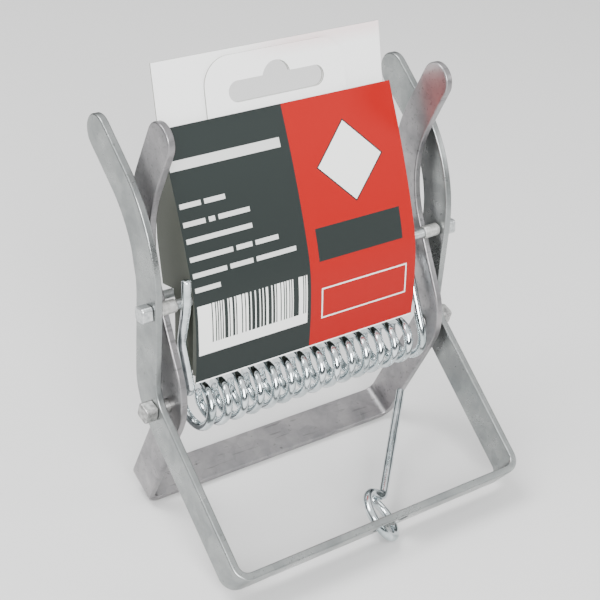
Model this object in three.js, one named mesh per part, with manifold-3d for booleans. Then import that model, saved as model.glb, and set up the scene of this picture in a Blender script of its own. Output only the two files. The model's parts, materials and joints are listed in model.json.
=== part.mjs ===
// Sprung scissor mole trap of galvanised flat bar, standing on its handles, with its card.
// Millimetres, +Z up, X along the pivots, the front of the trap towards -Y.
// The steel is drawn in the trap's own plane: u to the rear, v up along the middle of the jaws,
// the pivots at u = 0, v = 0. One group then leans that plane back until the trap stands.
import * as THREE from 'three';
import { mergeVertices } from 'three/addons/utils/BufferGeometryUtils.js';
import Module from 'manifold-3d';

const wasm = await Module();
wasm.setup();

// Fits
const clearance = 0.3;
const overrun = 5;

// Flat bar of both frames
const barWidth = 12;
const barThickness = 2.5;
const barEdge = 0.5;
const bendRadius = 3;
const overallWidth = 114;
const sideGap = 2.4;

// Side profile of both frames, from the handle up to the round end of the claw
const legSlope = THREE.MathUtils.degToRad(51.1);
const frontLegLength = 60.4;
const rearLegLength = 49.6;
const pivotOffset = 2.1;
const elbowDrop = 3.2;
const elbowRadius = 16.7;
const jawSlope = THREE.MathUtils.degToRad(104.9);
const jawStraight = 25;
const clawRadius = 42.6;
const tipSlope = THREE.MathUtils.degToRad(50.9);
const tipStraight = 15.3;
const cornerSteps = 5;
const elbowSteps = 9;
const clawSteps = 11;
const tipSteps = 7;

// Pivot pins and rods
const pinDiameter = 4.4;
const pinHeadWidth = 5.4;
const pinHeadLength = 3.9;
const pinHeadTurn = THREE.MathUtils.degToRad(28);
const pinInnerDiameter = 5.8;
const pinInnerLength = 0.9;
const rodDiameter = 3;
const rodHeadWidth = 4.9;
const rodHeadLength = 3.4;
const rodHeadTurn = THREE.MathUtils.degToRad(6);
const rodHeight = 33.3;
const headChamfer = 0.5;
const headCorner = 1.2;
const headCornerSteps = 3;
const sleeveDiameter = 4.3;
const sleeveLength = 6;
const runningFit = 0.15;
const pinSides = 24;
const rodSides = 20;

// Torsion spring
const springWire = 3;
const coilRadius = 5.9;
const coilCentre = new THREE.Vector2(-2, -3.8);
const coilTurns = 14.5;
const coilSideGap = 2.9;
const coilSteps = 8;
const coilSides = 5;
const armKinkHeight = 21.5;
const armKinkReach = 1;
const armTopHeight = 40.2;
const armTopReach = 10.8;

// Wire catch with its eye in the front handle
const catchWire = 3;
const catchSides = 8;
const eyeSteps = 24;
const eyeRadius = 7;
const eyeTurns = 1.75;
const eyePitch = 3.3;
const eyeOffset = 3;
const eyeRise = 3.3;
const eyeInset = 2.1;
const eyeYaw = THREE.MathUtils.degToRad(21);
const eyeLean = THREE.MathUtils.degToRad(6.8);
const eyeLeaveAngle = THREE.MathUtils.degToRad(137);
const catchTip = new THREE.Vector3(47.2, 11, -28.5);
const slotLength = 12.4;
const slotWidth = 7;
const slotInset = 1.6;

// Card
const cardThickness = 0.5;
const panelSideGap = 6.6;
const panelFoot = new THREE.Vector2(-2.8, 7.4);
const panelTop = new THREE.Vector2(1.1, 84.8);
const backSideGap = 7.6;
const backFoot = 7.4;
const backTop = 104;
const tabWidth = 52;
const tabOffset = 0.8;
const tabFoot = 78;
const tabTop = 102.3;
const tabCorner = 9;
const bowShare = 2 / 3;
const slotTabLength = 35.5;
const slotTabHeight = 6.6;
const slotTabTop = 94.2;
const slotTabBump = 5.2;
const slotTabBumpDrop = 1.2;
const slotTabSteps = 8;

const frontHalf = overallWidth / 2;
const rearHalf = frontHalf - barThickness - sideGap;
const rearInner = rearHalf - barThickness;
const panelWidth = 2 * (rearInner - panelSideGap);
const backWidth = 2 * (rearInner - backSideGap);

const steel = new THREE.MeshStandardMaterial({ color: 0xb4b8ba, roughness: 0.45, metalness: 0.85 });
const plated = new THREE.MeshStandardMaterial({ color: 0xc6cdd2, roughness: 0.28, metalness: 0.95 });
const printed = new THREE.MeshStandardMaterial({ color: 0xc8392c, roughness: 0.45, metalness: 0 });
const board = new THREE.MeshStandardMaterial({ color: 0xeeeeec, roughness: 0.7, metalness: 0 });

const trap = new THREE.Group();

function add(name, geometry, material) {
  const mesh = new THREE.Mesh(geometry, material);
  mesh.name = name;
  trap.add(mesh);
  return mesh;
}

// A closed skin over rings of equally many points, with flat ends, facing out.
function skin(rings) {
  const sides = rings[0].length;
  const points = rings.flat();
  const faces = [];
  for (let i = 0; i + 1 < rings.length; i++) {
    for (let j = 0; j < sides; j++) {
      const a = i * sides + j;
      const b = i * sides + ((j + 1) % sides);
      faces.push([a, b, b + sides], [a, b + sides, a + sides]);
    }
  }
  const last = (rings.length - 1) * sides;
  for (let j = 1; j + 1 < sides; j++) {
    faces.push([0, j + 1, j], [last, last + j, last + j + 1]);
  }
  let volume = 0;
  for (const [a, b, c] of faces) {
    volume += points[a].dot(new THREE.Vector3().crossVectors(points[b], points[c]));
  }
  const index = volume < 0 ? faces.flatMap(([a, b, c]) => [a, c, b]) : faces.flat();
  const geometry = new THREE.BufferGeometry().setFromPoints(points);
  geometry.setIndex(index);
  return geometry;
}

function toSolid(geometry) {
  const clean = geometry.clone();
  clean.deleteAttribute('normal');
  clean.deleteAttribute('uv');
  const merged = mergeVertices(clean);
  const mesh = new wasm.Mesh({
    numProp: 3,
    vertProperties: new Float32Array(merged.attributes.position.array),
    triVerts: new Uint32Array(merged.index.array),
  });
  return new wasm.Manifold(mesh);
}

function toGeometry(solid) {
  const mesh = solid.getMesh();
  const geometry = new THREE.BufferGeometry();
  geometry.setAttribute('position', new THREE.Float32BufferAttribute(mesh.vertProperties, 3));
  geometry.setIndex(new THREE.Uint32BufferAttribute(mesh.triVerts, 1));
  return geometry;
}

// The centre line of one claw and leg: points with their direction, from the handle to the tip.
function sideLine(legLength) {
  const leg = new THREE.Vector2(Math.cos(legSlope), Math.sin(legSlope));
  const across = new THREE.Vector2(-leg.y, leg.x);
  const line = [];
  const place = new THREE.Vector2().addScaledVector(leg, -legLength).addScaledVector(across, -pivotOffset);
  const push = (slope) => line.push({ u: place.x, v: place.y, slope });
  const straight = (slope, length) => {
    place.x += length * Math.cos(slope);
    place.y += length * Math.sin(slope);
    push(slope);
  };
  const arc = (from, to, radius, steps) => {
    const turn = Math.sign(to - from);
    const inward = new THREE.Vector2(-Math.sin(from), Math.cos(from));
    const centre = place.clone().addScaledVector(inward, turn * radius);
    for (let i = 1; i <= steps; i++) {
      const slope = from + ((to - from) * i) / steps;
      place.set(Math.sin(slope), -Math.cos(slope)).multiplyScalar(turn * radius).add(centre);
      push(slope);
    }
  };
  push(legSlope);
  straight(legSlope, legLength - elbowDrop);
  arc(legSlope, jawSlope, elbowRadius, elbowSteps);
  straight(jawSlope, jawStraight);
  arc(jawSlope, tipSlope, clawRadius, clawSteps);
  straight(tipSlope, tipStraight);
  return line;
}

// One frame: a bar section carried from claw to claw round the bent handle. The rear frame is mirrored.
function frameSolid(half, legLength, mirror) {
  const line = sideLine(legLength);
  const rings = [];
  const ring = (x, u, v, slope, tilt, width) => {
    const along = new THREE.Vector2(Math.cos(slope), Math.sin(slope));
    const across = new THREE.Vector3(0, -along.y, along.x);
    const out = new THREE.Vector3(Math.cos(tilt), -along.x * Math.sin(tilt), -along.y * Math.sin(tilt));
    const flat = width / 2 - barEdge;
    const face = barThickness / 2;
    const corners = [
      [flat, face], [-flat, face], [-width / 2, face - barEdge], [-width / 2, barEdge - face],
      [-flat, -face], [flat, -face], [width / 2, barEdge - face], [width / 2, face - barEdge],
    ];
    rings.push(corners.map(([wide, thick]) => new THREE.Vector3(x, u, v)
      .addScaledVector(across, wide)
      .addScaledVector(out, thick)));
  };
  const middle = half - barThickness / 2;
  const corner = bendRadius + barThickness / 2;
  const foot = line[0];
  const along = new THREE.Vector2(Math.cos(legSlope), Math.sin(legSlope));
  const handle = new THREE.Vector2(foot.u, foot.v).addScaledVector(along, barThickness / 2);
  ring(0, handle.x, handle.y, legSlope, Math.PI / 2, barWidth);
  for (let i = 0; i <= cornerSteps; i++) {
    const bend = (Math.PI / 2) * (i / cornerSteps);
    const rise = corner * (1 - Math.cos(bend));
    const place = handle.clone().addScaledVector(along, rise);
    const x = middle - corner + corner * Math.sin(bend);
    ring(x, place.x, place.y, legSlope, Math.PI / 2 - bend, barWidth);
  }
  for (const { u, v, slope } of line.slice(1)) {
    ring(middle, u, v, slope, 0, barWidth);
  }
  const tip = line[line.length - 1];
  for (let i = 1; i < tipSteps; i++) {
    const turn = (Math.PI / 2) * (i / tipSteps);
    const reach = (barWidth / 2) * Math.sin(turn);
    const u = tip.u + reach * Math.cos(tip.slope);
    const v = tip.v + reach * Math.sin(tip.slope);
    ring(middle, u, v, tip.slope, 0, barWidth * Math.cos(turn));
  }
  const flip = (p) => new THREE.Vector3(-p.x, p.y, p.z);
  const left = rings.slice(1).reverse().map((points) => points.map(flip));
  const all = [...left, ...rings];
  if (mirror) {
    for (const point of all.flat()) {
      point.y = -point.y;
    }
  }
  return toSolid(skin(all));
}

// A round bar along X, centred on x = 0 before it is moved.
function roundBar(diameter, length, place, x, sides) {
  const geometry = new THREE.CylinderGeometry(diameter / 2, diameter / 2, length, sides);
  geometry.rotateZ(Math.PI / 2);
  geometry.translate(x, place.x, place.y);
  return toSolid(geometry);
}

// A turned pin along X from a list of stations: x, diameter.
function turned(stations, place, sides) {
  const first = stations[0];
  const last = stations[stations.length - 1];
  const profile = [new THREE.Vector2(0, first[0])];
  for (const [x, diameter] of stations) {
    profile.push(new THREE.Vector2(diameter / 2, x));
  }
  profile.push(new THREE.Vector2(0, last[0]));
  const geometry = new THREE.LatheGeometry(profile, sides);
  geometry.rotateZ(-Math.PI / 2);
  geometry.translate(0, place.x, place.y);
  return toSolid(geometry);
}

// The front rod stands where its sleeves meet the front edges of the rear frame's closed claws.
function frontRodPlace() {
  const jaw = sideLine(frontLegLength).find(({ slope }) => slope === jawSlope);
  const rearClaw = -jaw.u - (rodHeight - jaw.v) / Math.tan(jawSlope);
  const reach = barWidth / 2 + sleeveDiameter / 2 + clearance;
  return new THREE.Vector2(rearClaw - reach / Math.sin(jawSlope), rodHeight);
}
const pivot = new THREE.Vector2(0, 0);
const rodPlace = frontRodPlace();
const rearRodPlace = new THREE.Vector2(-rodPlace.x, rodPlace.y);

// The slot in the front handle, square to its wide face, through which the eye passes.
const legAlong = new THREE.Vector3(0, Math.cos(legSlope), Math.sin(legSlope));
const legAcross = new THREE.Vector3(0, -Math.sin(legSlope), Math.cos(legSlope));
const handleMiddle = new THREE.Vector3(eyeOffset, 0, 0)
  .addScaledVector(legAlong, barThickness / 2 - frontLegLength)
  .addScaledVector(legAcross, -pivotOffset);
const slotCentre = handleMiddle.clone().addScaledVector(legAcross, slotInset);
const eyePass = handleMiddle.clone().addScaledVector(legAcross, eyeInset);

function slotCutter() {
  const shape = new THREE.Shape();
  const r = slotWidth / 2;
  const reach = slotLength / 2 - r;
  shape.absarc(reach, 0, r, -Math.PI / 2, Math.PI / 2, false);
  shape.absarc(-reach, 0, r, Math.PI / 2, Math.PI * 1.5, false);
  shape.closePath();
  const depth = barThickness + 2 * overrun;
  const geometry = new THREE.ExtrudeGeometry(shape, { depth, bevelEnabled: false, curveSegments: 8 });
  geometry.translate(0, 0, -depth / 2);
  const side = new THREE.Vector3(1, 0, 0);
  const up = new THREE.Vector3().crossVectors(legAlong, side);
  geometry.applyMatrix4(new THREE.Matrix4().makeBasis(side, up, legAlong));
  geometry.translate(slotCentre.x, slotCentre.y, slotCentre.z);
  return toSolid(geometry);
}

const through = overallWidth + 2 * overrun;
const frontFrame = frameSolid(frontHalf, frontLegLength, false)
  .subtract(roundBar(pinDiameter + 2 * runningFit, through, pivot, 0, pinSides))
  .subtract(roundBar(rodDiameter + 2 * runningFit, through, rodPlace, 0, rodSides))
  .subtract(slotCutter());
add('front_frame', toGeometry(frontFrame), steel);

const rearFrame = frameSolid(rearHalf, rearLegLength, true)
  .subtract(roundBar(pinDiameter + 2 * runningFit, through, pivot, 0, pinSides))
  .subtract(roundBar(rodDiameter + 2 * runningFit, through, rearRodPlace, 0, rodSides));
add('rear_frame', toGeometry(rearFrame), steel);

// A squarish head with rounded corners and a chamfered flat end, standing out of a claw.
function squareHead(side, width, length, turn, place) {
  const centre = new THREE.Vector2();
  const outline = (shrink) => {
    const reach = width / 2 - headCorner;
    const points = [];
    for (const start of [0, Math.PI / 2, Math.PI, Math.PI * 1.5]) {
      for (let i = 0; i <= headCornerSteps; i++) {
        const out = new THREE.Vector2(headCorner - shrink, 0);
        out.rotateAround(centre, (Math.PI / 2) * (i / headCornerSteps));
        const point = new THREE.Vector2(reach, reach).add(out);
        points.push(point.rotateAround(centre, start + turn).add(place));
      }
    }
    return points;
  };
  const inner = frontHalf + clearance;
  const rings = [[inner, 0], [inner + length - headChamfer, 0], [inner + length, headChamfer]];
  return toSolid(skin(rings.map(([x, shrink]) => {
    return outline(shrink).map((point) => new THREE.Vector3(side * x, point.x, point.y));
  })));
}

// Pivot pins: a thick flat ended head outside, the shank through both bars, a small riveted end inside.
function pivotPin(side) {
  const start = frontHalf + clearance + pinHeadLength / 2;
  const end = rearInner - clearance;
  const stations = [
    [side * start, pinDiameter],
    [side * end, pinDiameter],
    [side * end, pinInnerDiameter],
    [side * (end - pinInnerLength), pinDiameter],
  ];
  const shank = turned(side > 0 ? stations.reverse() : stations, pivot, pinSides);
  return shank.add(squareHead(side, pinHeadWidth, pinHeadLength, pinHeadTurn, pivot));
}
add('pivot_pin_left', toGeometry(pivotPin(-1)), steel);
add('pivot_pin_right', toGeometry(pivotPin(1)), steel);

// Front rod with a head outside each claw of the front frame.
function rodWithHeads() {
  const length = 2 * (frontHalf + clearance) + rodHeadLength;
  return roundBar(rodDiameter, length, rodPlace, 0, rodSides)
    .add(squareHead(-1, rodHeadWidth, rodHeadLength, rodHeadTurn, rodPlace))
    .add(squareHead(1, rodHeadWidth, rodHeadLength, rodHeadTurn, rodPlace));
}
add('front_rod', toGeometry(rodWithHeads()), plated);

// Sleeves on the front rod: the rear frame's claws stop on them.
const sleeveOuter = frontHalf - barThickness - clearance;
const sleeveInner = sleeveOuter - sleeveLength;
function sleeve(side) {
  const bore = rodDiameter / 2 + runningFit;
  const profile = [
    new THREE.Vector2(bore, sleeveInner),
    new THREE.Vector2(sleeveDiameter / 2, sleeveInner),
    new THREE.Vector2(sleeveDiameter / 2, sleeveOuter),
    new THREE.Vector2(bore, sleeveOuter),
    new THREE.Vector2(bore, sleeveInner),
  ];
  const geometry = new THREE.LatheGeometry(profile, rodSides);
  geometry.rotateZ((-side * Math.PI) / 2);
  geometry.translate(0, rodPlace.x, rodPlace.y);
  return toGeometry(toSolid(geometry));
}
add('rod_sleeve_left', sleeve(-1), steel);
add('rod_sleeve_right', sleeve(1), steel);

// Rear rod, flush in the claws of the rear frame.
add('rear_rod', toGeometry(roundBar(rodDiameter, 2 * rearHalf, rearRodPlace, 0, rodSides)), plated);

// A round wire along a list of points.
function wire(points, diameter, sides) {
  const rings = [];
  let side = null;
  for (let i = 0; i < points.length; i++) {
    const before = points[Math.max(i - 1, 0)];
    const after = points[Math.min(i + 1, points.length - 1)];
    const along = after.clone().sub(before).normalize();
    if (!side) {
      side = new THREE.Vector3(1, 0, 0);
      if (Math.abs(along.x) > Math.SQRT1_2) {
        side.set(0, 1, 0);
      }
    }
    side.addScaledVector(along, -side.dot(along)).normalize();
    const up = new THREE.Vector3().crossVectors(along, side);
    const ring = [];
    for (let j = 0; j < sides; j++) {
      const turn = (2 * Math.PI * j) / sides;
      const out = side.clone().multiplyScalar(Math.cos(turn)).addScaledVector(up, Math.sin(turn));
      ring.push(points[i].clone().addScaledVector(out, diameter / 2));
    }
    rings.push(ring);
  }
  return skin(rings);
}

// The least gap of a wire to itself, measured on its centre line.
function leastGap(points, diameter) {
  let least = Infinity;
  const apart = 2 * Math.PI * diameter;
  const travelled = [0];
  for (let i = 1; i < points.length; i++) {
    travelled.push(travelled[i - 1] + points[i].distanceTo(points[i - 1]));
  }
  for (let i = 0; i < points.length; i++) {
    for (let j = i + 1; j < points.length; j++) {
      if (travelled[j] - travelled[i] > apart) {
        least = Math.min(least, points[i].distanceTo(points[j]) - diameter);
      }
    }
  }
  return least;
}

// Torsion spring. The left arm leaves the back of the coil and reaches in front of the front rod;
// the right arm leaves the front and reaches behind the rear rod.
function springPoints() {
  const armX = sleeveInner - clearance - springWire / 2;
  const coilEnd = armX - coilSideGap;
  const coilPitch = (2 * coilEnd) / coilTurns;
  const seat = -rodPlace.x + rodDiameter / 2 + 2 * clearance + springWire / 2;
  const reachHeight = rodPlace.y;
  const arm = (side) => {
    const start = new THREE.Vector3(side * coilEnd, coilCentre.x - side * coilRadius, coilCentre.y);
    const points = [
      start.clone().add(new THREE.Vector3(0, 0, springWire)),
      new THREE.Vector3(side * armX, side * armKinkReach, armKinkHeight),
      new THREE.Vector3(side * armX, side * seat, reachHeight),
      new THREE.Vector3(side * armX, side * armTopReach, armTopHeight),
    ];
    return points;
  };
  const coil = [];
  const steps = Math.round(coilTurns * coilSteps);
  for (let i = 0; i <= steps; i++) {
    const turn = (2 * Math.PI * i) / coilSteps;
    coil.push(new THREE.Vector3(
      -coilEnd + (coilPitch * i) / coilSteps,
      coilCentre.x + coilRadius * Math.cos(turn),
      coilCentre.y - coilRadius * Math.sin(turn),
    ));
  }
  return [...arm(-1).reverse(), ...coil, ...arm(1)];
}
const spring = springPoints();
console.log('least gap of the spring to itself, mm:', leastGap(spring, springWire).toFixed(2));
add('torsion_spring', wire(spring, springWire, coilSides), plated);

// Wire catch: an eye of nearly two turns through the slot and round the rear edge of the front handle,
// then a straight shank that runs low to the right rear corner.
const eyeNormal = new THREE.Vector3(
  Math.cos(eyeYaw) * Math.cos(eyeLean),
  -Math.sin(eyeYaw) * Math.cos(eyeLean),
  Math.sin(eyeLean),
);
const eyeDown = new THREE.Vector3().crossVectors(eyeNormal, legAlong).normalize();
if (eyeDown.dot(legAcross) > 0) {
  eyeDown.negate();
}
const eyeUp = new THREE.Vector3().crossVectors(eyeNormal, eyeDown).normalize();
if (eyeUp.dot(legAlong) < 0) {
  eyeUp.negate();
}
const riseInEye = eyeRise / eyeUp.dot(legAlong);
const chordHalf = Math.sqrt(eyeRadius * eyeRadius - riseInEye * riseInEye);
const eyeCentre = eyePass.clone().addScaledVector(eyeDown, chordHalf).addScaledVector(eyeUp, riseInEye);

// Both passes through the slot lie evenly about its middle.
const slotAngle = Math.PI + Math.asin(riseInEye / eyeRadius);
const slotTurns = (slotAngle - eyeLeaveAngle) / (2 * Math.PI);

function catchPoints() {
  const steps = Math.round(eyeTurns * eyeSteps);
  const points = [];
  for (let i = 0; i <= steps; i++) {
    const turns = (steps - i) / eyeSteps;
    const angle = eyeLeaveAngle + 2 * Math.PI * turns;
    const shift = eyePitch * (slotTurns + 1 / 2 - turns);
    points.push(eyeCentre.clone()
      .addScaledVector(eyeDown, eyeRadius * Math.cos(angle))
      .addScaledVector(eyeUp, eyeRadius * Math.sin(angle))
      .addScaledVector(eyeNormal, shift));
  }
  const last = points[points.length - 1];
  const before = points[points.length - 2];
  const leave = last.clone().sub(before).normalize();
  const foot = last.clone().addScaledVector(leave, catchWire / 2);
  points.push(foot);
  points.push(catchTip.clone());
  return points;
}
add('wire_catch', wire(catchPoints(), catchWire, catchSides), plated);

// Card: a sheet with its curve in the trap's plane, carried across the width.
function sheetRings(curve, steps, width) {
  const rings = [];
  for (let i = 0; i <= steps; i++) {
    const place = curve.getPoint(i / steps);
    const along = curve.getTangent(i / steps);
    const out = new THREE.Vector2(-along.y, along.x).multiplyScalar(cardThickness / 2);
    rings.push([
      new THREE.Vector3(-width / 2, place.x + out.x, place.y + out.y),
      new THREE.Vector3(width / 2, place.x + out.x, place.y + out.y),
      new THREE.Vector3(width / 2, place.x - out.x, place.y - out.y),
      new THREE.Vector3(-width / 2, place.x - out.x, place.y - out.y),
    ]);
  }
  return rings;
}

// The front panel bows over the front rod and leans back at its top.
const rodFront = rodPlace.x - sleeveDiameter / 2 - clearance - cardThickness / 2;
const bow = (from, to) => THREE.MathUtils.lerp(from, to, bowShare);
const panelCurve = new THREE.SplineCurve([
  panelFoot,
  new THREE.Vector2(bow(panelFoot.x, rodFront), (panelFoot.y + rodPlace.y) / 2),
  new THREE.Vector2(rodFront, rodPlace.y),
  new THREE.Vector2(rodFront, rodPlace.y + barWidth),
  new THREE.Vector2(bow(panelTop.x, rodFront), bow(rodPlace.y + barWidth, panelTop.y)),
  panelTop,
]);
add('card_front_panel', skin(sheetRings(panelCurve, 16, panelWidth)), printed);

// The back board stands just in front of the rear rod.
const backPlace = rearRodPlace.x - rodDiameter / 2 - clearance - cardThickness / 2;
const backCurve = new THREE.LineCurve(
  new THREE.Vector2(backPlace, backFoot),
  new THREE.Vector2(backPlace, backTop),
);
const backSheet = toSolid(skin(sheetRings(backCurve, 1, backWidth)));

// The hanging slot: round ended, with a bump in the middle of its top edge.
function hangingSlot() {
  const r = slotTabHeight / 2;
  const reach = slotTabLength / 2 - r;
  const middle = slotTabTop - r;
  const meet = Math.asin(slotTabBumpDrop / slotTabBump);
  const slot = new THREE.Path();
  slot.absarc(reach, middle, r, Math.PI / 2, -Math.PI / 2, true);
  slot.absarc(-reach, middle, r, -Math.PI / 2, -Math.PI * 1.5, true);
  slot.absarc(0, slotTabTop - slotTabBumpDrop, slotTabBump, Math.PI - meet, meet, true);
  slot.closePath();
  return slot;
}
function slotThroughCard() {
  const outline = new THREE.Shape(hangingSlot().getPoints(slotTabSteps));
  const depth = 2 * overrun;
  const geometry = new THREE.ExtrudeGeometry(outline, { depth, bevelEnabled: false });
  geometry.rotateX(Math.PI / 2);
  geometry.translate(tabOffset, backPlace + overrun, 0);
  return toSolid(geometry);
}
add('card_back_board', toGeometry(backSheet.subtract(slotThroughCard())), board);

// The hanging tab: rounded top corners and the same slot, flat in front of the back board.
function tabGeometry() {
  const half = tabWidth / 2;
  const shape = new THREE.Shape();
  shape.moveTo(-half, tabFoot);
  shape.lineTo(half, tabFoot);
  shape.lineTo(half, tabTop - tabCorner);
  shape.absarc(half - tabCorner, tabTop - tabCorner, tabCorner, 0, Math.PI / 2, false);
  shape.absarc(-half + tabCorner, tabTop - tabCorner, tabCorner, Math.PI / 2, Math.PI, false);
  shape.closePath();
  shape.holes.push(hangingSlot());
  const options = { depth: cardThickness, bevelEnabled: false, curveSegments: slotTabSteps };
  const geometry = new THREE.ExtrudeGeometry(shape, options);
  geometry.rotateX(Math.PI / 2);
  const tabPlace = backPlace - cardThickness / 2 - clearance;
  geometry.translate(tabOffset, tabPlace, 0);
  return toGeometry(toSolid(geometry));
}
add('card_hanging_tab', tabGeometry(), board);

// Stand the trap: the rear handle's low edge and the bottom of the eye touch the floor.
const halfTurnAcross = legAcross.clone().multiplyScalar(barWidth / 2);
const rearFoot = new THREE.Vector3()
  .addScaledVector(legAlong, -rearLegLength)
  .addScaledVector(legAcross, -pivotOffset)
  .sub(halfTurnAcross);
rearFoot.y = -rearFoot.y;

function lean(angle) {
  const turn = new THREE.Matrix4().makeRotationX(-angle);
  const floor = rearFoot.clone().applyMatrix4(turn).z;
  let lowest = Infinity;
  for (const point of catchPoints()) {
    lowest = Math.min(lowest, point.clone().applyMatrix4(turn).z - catchWire / 2);
  }
  return lowest - floor;
}
let low = 0;
let high = Math.PI / 4;
while (high - low > Number.EPSILON * 8) {
  const middle = (low + high) / 2;
  if (lean(middle) > 0) {
    high = middle;
  } else {
    low = middle;
  }
}
trap.rotation.x = -low;
trap.updateMatrixWorld(true);
const stand = new THREE.Box3().setFromObject(trap, true);
trap.position.set(0, -(stand.min.y + stand.max.y) / 2, -stand.min.z);
console.log('lean back, degrees:', THREE.MathUtils.radToDeg(low).toFixed(3));
console.log('pivot axis at y, z:', trap.position.y.toFixed(3), trap.position.z.toFixed(3));

const part = new THREE.Group();
part.add(trap);
export default part;
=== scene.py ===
import json
import math

import bmesh
import bpy
import numpy as np
from mathutils import Matrix, Vector


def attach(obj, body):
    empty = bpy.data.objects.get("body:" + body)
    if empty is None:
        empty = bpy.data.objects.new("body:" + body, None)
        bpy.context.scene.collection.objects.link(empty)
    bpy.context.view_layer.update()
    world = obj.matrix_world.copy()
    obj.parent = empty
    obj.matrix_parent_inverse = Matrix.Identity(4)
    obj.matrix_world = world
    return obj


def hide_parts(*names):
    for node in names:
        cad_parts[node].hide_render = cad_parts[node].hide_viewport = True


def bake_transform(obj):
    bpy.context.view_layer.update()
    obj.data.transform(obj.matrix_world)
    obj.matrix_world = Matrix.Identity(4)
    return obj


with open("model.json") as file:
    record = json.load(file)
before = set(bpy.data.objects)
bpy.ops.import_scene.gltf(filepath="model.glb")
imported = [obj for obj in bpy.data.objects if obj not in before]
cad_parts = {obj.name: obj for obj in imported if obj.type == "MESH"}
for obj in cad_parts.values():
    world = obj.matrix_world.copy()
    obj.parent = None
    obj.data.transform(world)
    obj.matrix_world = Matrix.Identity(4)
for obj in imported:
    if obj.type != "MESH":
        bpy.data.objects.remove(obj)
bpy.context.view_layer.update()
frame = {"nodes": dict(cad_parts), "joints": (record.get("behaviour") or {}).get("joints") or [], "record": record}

# Front frame: one length of 12 x 2.5 mm galvanised bar with rolled edges, bent to a U. The handle
# lies low at the front, and each leg crosses the rear frame at its pivot and runs on into a claw
# that bows to the front and ends in a round tip. Punched holes take the pins, the rod and the eye.
MM = 0.001
BAR_WIDTH = 12.0
BAR_THICKNESS = 2.5
EDGE_RADIUS = 0.55
EDGE_STEPS = 4
BEND_RADIUS = 3.0
BEND_STEPS = 12
LEG_SLOPE = math.radians(51.1)
FRONT_LEG_LENGTH = 60.4
PIVOT_OFFSET = 2.1
ELBOW_DROP = 3.2
ELBOW_RADIUS = 16.7
JAW_SLOPE = math.radians(104.9)
JAW_STRAIGHT = 25.0
CLAW_RADIUS = 42.6
TIP_SLOPE = math.radians(50.9)
TIP_STRAIGHT = 15.3
ARC_STEPS = 24
TIP_STEPS = 14
FRONT_HALF = 57.0
FIT = 0.15
HOLE_STEPS = 12
OVERRUN = 5.0
PIN_RADIUS = 2.2
ROD_RADIUS = 1.5
ROD_U = -5.57
ROD_V = 33.3
SLOT_LENGTH = 13.6
SLOT_WIDTH = 7.4
SLOT_INSET = 1.2
SLOT_OFFSET = 3.0
RIM_WIDTH = 0.25
RIM_STEPS = 2
RIM_ANGLE = math.radians(50)
SHARP_ANGLE = math.radians(40)
WELD = 0.000002
GALVANISED = (0.21, 0.225, 0.225, 1.0)
GALVANISED_PALE = (0.37, 0.385, 0.38, 1.0)
GALVANISED_PIT = (0.09, 0.095, 0.095, 1.0)
BAR_ROUGHNESS = 0.28
BAR_SCRATCHES = 0.2
BAR_METAL = 0.9
CRYSTALS_PER_METRE = 260.0
CLOUDS_PER_METRE = 70.0
CLOUD_RANGE = (0.35, 0.68)
PITS_PER_METRE = 420.0
PIT_RANGE = (0.66, 0.74)
SCRATCHES_PER_METRE = 900.0
SCRATCH_RANGE = (0.62, 0.7)
SCRATCH_STRETCH = (0.12, 1.0, 1.0)
GRAINS_PER_METRE = 1500.0
CLOUD_TINT = 0.75
CRYSTAL_TINT = 0.25
PIT_TINT = 0.55
SCRATCH_TINT = 0.35
CLOUD_HEIGHT = 0.6
CRYSTAL_HEIGHT = 0.3
GRAIN_HEIGHT = 0.25
PIT_DEPTH = 0.8
GRAIN_DULLS = 0.12
CLOUD_SHINES = 0.08
BAR_RELIEF = 0.35
BUMP_METRES = 0.0001

record = frame["record"]
hinge = next(joint for joint in frame["joints"] if joint["name"] == "jaw_hinge")
handle_face = next(mount for mount in record["mounts"] if mount["name"] == "front_handle_face")
PIVOT = Vector(hinge["pos_m"])
LEAN = LEG_SLOPE - math.atan2(-handle_face["axis"][2], -handle_face["axis"][1])


def stand(points):
    """Trap-plane millimetres to metres on the floor: x stays, u and v turn back by the lean, and
    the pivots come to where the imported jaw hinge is."""
    x, u, v = np.moveaxis(np.asarray(points, float), -1, 0)
    y = u * math.cos(LEAN) + v * math.sin(LEAN)
    z = v * math.cos(LEAN) - u * math.sin(LEAN)
    return np.stack([x, y, z], axis=-1) * MM + np.array(PIVOT)


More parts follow.
